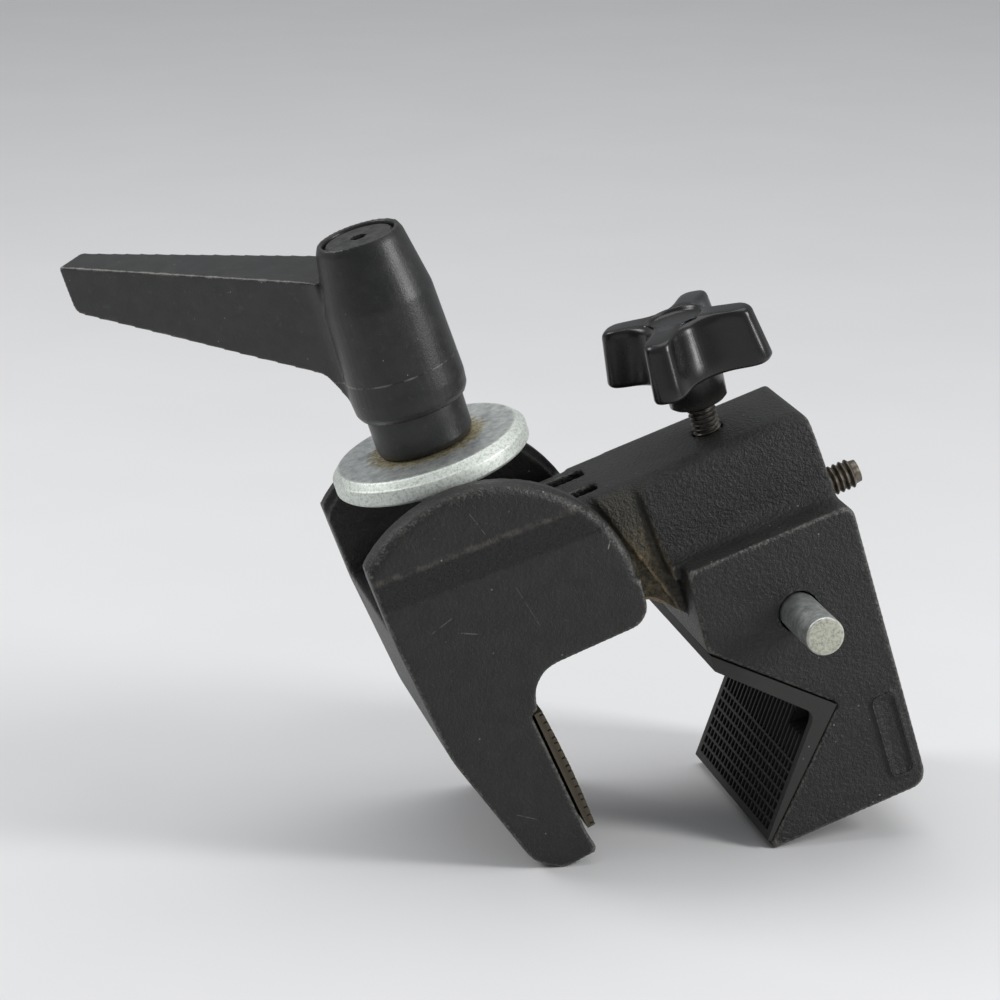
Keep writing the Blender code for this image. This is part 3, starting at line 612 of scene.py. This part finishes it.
# ---------------------------------------------------------------- the two castings
body = mark_edges(cast("fixed_jaw", "body_casting", 0.5, 3), 14, 0.42)
finish_piece(body, "body", "casting", body_coat, "fixed_jaw", sharp=80)
jaw = mark_edges(round_rim(cast("moving_jaw", "jaw_casting", 0.45, 3)), 14, 0.36)
finish_piece(jaw, "swing_jaw", "casting", jaw_coat, "moving_jaw", sharp=80)

# ---------------------------------------------------------------- lever, hub, washer and screw
handle = mark_edges(cast("lever_handle", "lever", 0.35, 4), 12, 0.40)
finish_piece(handle, "handle", "lever", lever_satin, "lever_handle", sharp=80)

hub_profile = rounded((5.2, 100.2, 0), (9.6, 100.2, 0.5), (10.05, 101.4, 1.0), (10.15, 110.3, 0.4), (6.8, 110.3, 0.2),
                      (6.8, 122.0, 0.2), (5.2, 122.0, 0))
hub = turned("hub", LEVER, hub_profile, hollow=True)
finish_piece(mark_edges(hub, 4, 0.3), "spindle", "lever", hub_satin, "ratchet_hub")

washer_profile = rounded((5.3, 95.0, 0), (19.9, 95.0, 0.5), (20.5, 95.6, 0.5), (20.5, 98.3, 0.5), (20.1, 98.6, 0.4),
                         (18.9, 99.9, 0.9), (5.3, 99.9, 0.2))
washer = turned("washer", LEVER, washer_profile, hollow=True, steps=160)
finish_piece(washer, "washer", "zinc", washer_zinc, "pressure_washer")

SPINDLE_R, SPINDLE_PITCH = 4.9, 2.0
spindle = threaded("lever_spindle", LEVER, 60.0, 94.6, SPINDLE_R, SPINDLE_PITCH, 0.75, lead=0.6,
                   tail=[(SPINDLE_R - 0.5, 94.8), (SPINDLE_R - 0.1, 95.6), (SPINDLE_R - 0.1, 118.0)])
finish_piece(mark_edges(spindle, 4, 0.25), "spindle", "steel", thread_steel, "spindle")
cap_screw = mark_edges(refined("lever_screw", "cap_screw", 0.25), 3, 0.2)
finish_piece(cap_screw, "spindle", "steel", screw_steel, "lever_screw")

# ---------------------------------------------------------------- lock knob
KNOB_R, LOBE_HALF, LOBE_TURN, VALLEY = 17.9, 3.0, -33.0, 4.2
LOBE_ROUND, VALLEY_ROUND = 2.6, 10.0
STAR_BOTTOM, STAR_TOP, HUB_BOTTOM = 27.2, 39.4, 20.5


def star_reach():
    """The star's radius at each angle, as a function, from its rounded outline."""
    corners = []
    for k in range(4):
        c, s = math.cos(math.radians(90 * k + LOBE_TURN)), math.sin(math.radians(90 * k + LOBE_TURN))
        for u, v, r in ((KNOB_R, -LOBE_HALF, LOBE_ROUND), (KNOB_R, LOBE_HALF, LOBE_ROUND),
                        (VALLEY, VALLEY, VALLEY_ROUND)):
            corners.append((u * c - v * s, u * s + v * c, r))
    outline = rounded(*corners, step=4, closed=True)
    angles = np.array([math.atan2(y, x) % (2 * math.pi) for x, y in outline])
    radii = np.array([math.hypot(x, y) for x, y in outline])
    order = np.argsort(angles)
    angles, radii = angles[order], radii[order]
    return lambda a: float(np.interp(a % (2 * math.pi), angles, radii, period=2 * math.pi))


star = star_reach()


def knob_rings():
    """(kind, share or inset, height): circles for the hub and dish, the star between them."""
    rings = [(("circle", 3.3), HUB_BOTTOM + 1.0), (("circle", 3.3), HUB_BOTTOM), (("circle", 5.5), HUB_BOTTOM),
             (("circle", 6.1), HUB_BOTTOM + 0.5), (("circle", 6.5), STAR_BOTTOM - 0.4),
             (("circle", 6.7), STAR_BOTTOM)]
    rings += [(("blend", t), STAR_BOTTOM) for t in (0.35, 0.7)]
    low_fillet, high_fillet = 1.0, 1.9
    for k in range(6):
        a = math.radians(90 * k / 5)
        rings.append((("star", low_fillet * (1 - math.sin(a))), STAR_BOTTOM + low_fillet * (1 - math.cos(a))))
    side = STAR_TOP - STAR_BOTTOM - low_fillet - high_fillet
    rings += [(("star", 1.5 * t), STAR_BOTTOM + low_fillet + side * t) for t in (0.25, 0.5, 0.75)]
    for k in range(8):
        a = math.radians(90 * k / 7)
        rings.append((("star", 1.5 + high_fillet * (1 - math.cos(a))),
                      STAR_TOP - high_fillet + high_fillet * math.sin(a)))
    rings += [(("dish", t), STAR_TOP + 0.25 * math.sin(math.pi * t)) for t in (0.35, 0.7)]
    rings += [(("circle", r), STAR_TOP + h) for r, h in ((5.9, 0.3), (5.6, 0.15), (5.3, -0.3), (5.0, -0.6),
                                                         (3.0, -0.7), (0.05, -0.7))]
    return rings


def knob_radius(key, angle, height):
    kind, value = key
    if kind == "circle":
        return value
    if kind == "star":
        return star(angle) - value
    edge, inner = (star(angle) - 1.0, 6.7) if kind == "blend" else (star(angle) - 3.4, 5.9)
    return inner + (edge - inner) * value if kind == "blend" else edge + (inner - edge) * value


knob = lofted("knob", KNOB, knob_radius, knob_rings(), steps=240)
finish_piece(mark_edges(knob, 5, 0.35), "lock_knob", "knob", knob_plastic, "lock_knob", sharp=50)

SCREW_R, SCREW_PITCH = 3.0, 1.0
knob_screw = threaded("knob_screw", KNOB, 0.0, 26.0, SCREW_R, SCREW_PITCH, 0.55, lead=0.5,
                      tail=[(SCREW_R - 0.5, 26.3), (SCREW_R - 0.4, 33.8)])
finish_piece(mark_edges(knob_screw, 3, 0.15), "lock_screw", "steel", thread_steel, "lock_screw")

# ---------------------------------------------------------------- blank panels on the fixed jaw
PANEL_OUTER = ((30.2, 21.5, 1.6), (35.6, 21.5, 1.6), (34.8, 2.6, 1.6), (29.4, 2.6, 1.6))
PANEL_INNER = ((30.75, 20.95, 1.1), (35.0, 20.95, 1.1), (34.25, 3.15, 1.1), (30.0, 3.15, 1.1))
for side, face in (("front", -26.0), ("rear", 26.0)):
    outer, inner = rounded(*PANEL_OUTER, closed=True), rounded(*PANEL_INNER, closed=True)
    low, high = face * 0.99, face * 1.021
    rings = ((outer, low), (outer, high), (inner, high), (inner, low))
    rim_points = [FIXED.at(x, y, z) for outline, y in rings for x, z in outline]
    panel = mesh_object(f"panel_rim_{side}", rim_points, ring_faces(4, len(outer), True))
    finish_piece(mark_edges(panel, 1, 0.3), "body", "casting", body_coat)

# ---------------------------------------------------------------- stud and pins
stud_hex = mark_edges(refined("hex_stud", "stud", 0.25), 3, 0.2)
finish_piece(stud_hex, "body", "steel", stud_steel, "hex_stud")

PIN_R, PIN_END = 4.0, -42.0
pin_profile = rounded((0, PIN_END, 0), (PIN_R, PIN_END, 0.55), (PIN_R, -10.6, 0), (6.0, -10.6, 0.3), (6.0, 4.0, 0.3),
                      (2.6, 4.0, 0), (2.6, 9.0, 0.3), (0, 9.0, 0))
pin = turned("pin", FIXED.moved(PIN[0], 0, PIN[1]), pin_profile, lie="y", steps=80)
finish_piece(pin, "safety_pin", "zinc", pin_zinc, "safety_pin")

for node, piece, body_name, slot, mat, width in (
        ("barrel_nut", "cross_nut", "body", "steel", thread_steel, 0.3),
        ("pivot_pin", "hinge_pin", "body", "steel", thread_steel, 0.25),
        ("pivot_washer_front", "hinge_washer_front", "body", "zinc", small_zinc, 0.15),
        ("pivot_washer_rear", "hinge_washer_rear", "body", "zinc", small_zinc, 0.15),
        ("safety_pin_plug", "pin_plug", "body", "zinc", small_zinc, 0.25)):
    finish_piece(mark_edges(refined(node, piece, width), 3, 0.2), body_name, slot, mat, node)
for node in ("lever_spring", "safety_pin_spring"):
    spring = NODES[node]
    spring.data.materials.clear()
    spring.data.materials.append(spring_wire)


# ---------------------------------------------------------------- pads
def lines(length, ridge, gap, start, end):
    """Grid lines from 0 to length, with (position, is it on a ridge): a flat border, then ridges and pits."""
    found = [(0.0, True), (start, True)]
    count = max(1, round((length - start - end - gap) / (gap + ridge)))
    pitch = (length - start - end + ridge) / (count + 1)
    for k in range(count + 1):
        low = start + k * pitch
        found += [(low + 0.12, False), (low + pitch - ridge - 0.12, False)]
        found += [(low + pitch - ridge, True), (low + pitch, True)] if k < count else []
    return found + [(length - end, True), (length, True)]


def waffle(corner, run, out, across, u_lines, v_lines, depth, open_above=None, studs=False):
    """Points and faces of one pad face: ridges stand at the face, pits lie depth below it. studs turns it round:
    only where two ridges would cross does the pad stand.

    corner is where u and across start, run the direction of u, out the way the face looks, in the axes' x and z.
    """
    points, faces = [], []
    for u, u_ridge in u_lines:
        for v, v_ridge in v_lines:
            raised = (u_ridge and v_ridge) if studs else (u_ridge or v_ridge)
            if open_above is not None and u_lines[0][0] < u < u_lines[-1][0]:
                raised = v_ridge or (u_ridge and not open_above(u))
            down = 0.0 if raised else depth
            points.append((corner[0] + run[0] * u - out[0] * down, across + v, corner[1] + run[1] * u - out[1] * down))
    wide = len(v_lines)
    for i in range(len(u_lines) - 1):
        faces += [(i * wide + k, i * wide + k + 1, (i + 1) * wide + k + 1, (i + 1) * wide + k)
                  for k in range(wide - 1)]
    return points, faces, wide


def pad_piece(name, axes, outline, face_runs, half, body_name, slot, mat, node, pits):
    """A pad of this outline, (x, z) points, whose listed sides carry a waffle and whose other sides are plain."""
    all_points, all_faces, columns = [], [], []
    v_lines = lines(2 * half, *pits["across"])
    n = len(outline)
    for i in range(n):
        start, end = Vector(outline[i]), Vector(outline[(i + 1) % n])
        run = (end - start).normalized()
        length = (end - start).length
        out = Vector((run.y, -run.x)) * pits["side"]
        base = len(all_points)
        if i in face_runs:
            u_lines = lines(length, *pits["along"])
            found, faces, wide = waffle(start, run, out, -half, u_lines, v_lines, pits["depth"], face_runs[i],
                                        pits["studs"])
        else:
            flat = [(v, True) for v, _ in v_lines]
            found, faces, wide = waffle(start, run, out, -half, [(0.0, True), (length, True)], flat, 0.0)
        all_points += [axes.at(*p) for p in found]
        all_faces += [tuple(base + k for k in face) for face in faces]
        rows = len(found) // wide
        columns.append(([base + r * wide for r in range(rows)], [base + r * wide + wide - 1 for r in range(rows)]))
    for side in (0, 1):
        ring = []
        for column in columns:
            ring += column[side][:-1]
        all_faces.append(tuple(ring))
    obj = mesh_object(name, all_points, all_faces)
    bm = bmesh.new()
    bm.from_mesh(obj.data)
    bmesh.ops.remove_doubles(bm, verts=bm.verts, dist=0.003 * MM)
    bmesh.ops.recalc_face_normals(bm, faces=bm.faces)
    bm.to_mesh(obj.data)
    bm.free()
    finish_piece(mark_edges(obj, 2, 0.25), body_name, slot, mat, node, sharp=25)
    return obj


V_PITS = {"across": (0.55, 1.55, 2.0, 2.0), "along": (0.5, 1.75, 1.6, 1.2), "depth": 0.8, "side": -1,
          "studs": False}
v_inner = rounded((0.25, 1.0, 0), (18.4, 23.3, 2.4), (1.5, 40.9, 0))
v_outline = [*v_inner, (1.75, 44.36), (23.23, 23.31), (1.0, 0.64)]
LOWER_OPEN, UPPER_OPEN = 18.5, 7.0     # past these the pits by the apex run open across the V
v_faces = {0: lambda u: u > LOWER_OPEN, len(v_inner) - 2: lambda u: u < UPPER_OPEN}
V_HALF, JAW_HALF = 25.9, 24.8
v_lining = pad_piece("v_lining", FIXED, v_outline, v_faces, V_HALF, "body", "v_pad", v_rubber, "v_pad", V_PITS)


def box_cut(obj, axes, x, y, z):
    """Takes a box out of a piece. x, y and z are (low, high)."""
    corners = [axes.at(x[i], y[j], z[k]) for i in (0, 1) for j in (0, 1) for k in (0, 1)]
    faces = [(0, 1, 3, 2), (4, 6, 7, 5), (0, 4, 5, 1), (2, 3, 7, 6), (0, 2, 6, 4), (1, 5, 7, 3)]
    cutter = mesh_object("cutter", corners, faces)
    cut = obj.modifiers.new("cut", "BOOLEAN")
    cut.object = cutter
    settled(obj)
    bpy.data.objects.remove(cutter, do_unlink=True)


POCKET_X, POCKET_Z = (13.0, 21.3), (18.6, 24.4)
for pocket_y in ((-23.7, -15.2), (15.2, 23.7)):
    box_cut(v_lining, FIXED, POCKET_X, pocket_y, POCKET_Z)

JAW_PITS = {"across": (1.5, 0.7, 1.5, 1.5), "along": (1.35, 0.75, 0.4, 0.4), "depth": 0.95, "side": 1,
            "studs": True}
PAD_LOW, PAD_HIGH, PAD_BACK, PAD_FRONT, PAD_BULGE = (-34.75, 18.2), (-37.9, 45.9), 0.3, 2.05, 0.45
pad_low, pad_high = Vector(PAD_LOW), Vector(PAD_HIGH)
pad_run = (pad_high - pad_low).normalized()
pad_out = Vector((pad_run.y, -pad_run.x))
swell = [pad_low + (pad_high - pad_low) * t + pad_out * (PAD_FRONT + PAD_BULGE * math.sin(math.pi * t))
         for t in (0.0, 0.25, 0.5, 0.75, 1.0)]
jaw_outline = [tuple(p) for p in (pad_low + pad_out * PAD_BACK, *swell, pad_high + pad_out * PAD_BACK)]
jaw_faces = {k: None for k in (1, 2, 3, 4)}
pad_piece("jaw_lining", MOVING, jaw_outline, jaw_faces, JAW_HALF, "swing_jaw", "jaw_pad", jaw_rubber, "jaw_pad",
          JAW_PITS)

# ---------------------------------------------------------------- floor, light and camera
FLOOR_HALF = 4.0
floor_mesh = bpy.data.meshes.new("floor")
floor_mesh.from_pydata([(-FLOOR_HALF, -FLOOR_HALF, 0), (FLOOR_HALF, -FLOOR_HALF, 0), (FLOOR_HALF, FLOOR_HALF, 0),
                        (-FLOOR_HALF, FLOOR_HALF, 0)], [], [(0, 1, 2, 3)])
floor = bpy.data.objects.new("floor", floor_mesh)
bpy.context.scene.collection.objects.link(floor)
paper = Shader("pale_paper", roughness=0.75, specular=0.3)
paper.set(Base_Color=paper.mix((0.66, 0.66, 0.668), (0.70, 0.70, 0.70), paper.noise(60, 3)))
floor_mesh.materials.append(paper.mat)

bpy.context.scene.view_settings.view_transform = "Standard"
world = bpy.data.worlds.new("studio")
bpy.context.scene.world = world
world.use_nodes = True
sky = world.node_tree.nodes["Background"]
sky.inputs["Color"].default_value = (0.95, 0.97, 1.0, 1)
sky.inputs["Strength"].default_value = 0.36


def softbox(name, at, aim, size, power):
    light = bpy.data.lights.new(name, "AREA")
    light.shape = "RECTANGLE"
    light.size, light.size_y = size
    light.energy = power
    obj = bpy.data.objects.new(name, light)
    bpy.context.scene.collection.objects.link(obj)
    obj.location = at
    obj.rotation_euler = (Vector(aim) - Vector(at)).to_track_quat("-Z", "Y").to_euler()


MIDDLE = (0.0, 0.0, 0.06)
softbox("overhead", (0.10, 0.35, 1.70), MIDDLE, (1.7, 1.4), 13.5)
softbox("right_front", (0.62, -0.40, 0.42), MIDDLE, (0.16, 0.45), 4.5)
softbox("left_back", (-0.55, 0.25, 0.55), MIDDLE, (0.3, 0.3), 2.2)

CAMERA_TURN, CAMERA_DROP = math.radians(13.5), math.radians(16.4)
CAMERA_AIM, CAMERA_AWAY = Vector((-0.9, -7.0, 71.6)) * MM, 676 * MM
SENSOR, LENS = 36, 118.8
camera_data = bpy.data.cameras.new("camera")
camera_data.sensor_width = SENSOR
camera_data.lens = LENS
camera = bpy.data.objects.new("camera", camera_data)
bpy.context.scene.collection.objects.link(camera)
looking = Vector((math.sin(CAMERA_TURN) * math.cos(CAMERA_DROP), math.cos(CAMERA_TURN) * math.cos(CAMERA_DROP),
                  -math.sin(CAMERA_DROP)))
camera.location = CAMERA_AIM - looking * CAMERA_AWAY
camera.rotation_euler = looking.to_track_quat("-Z", "Y").to_euler()
bpy.context.scene.camera = camera
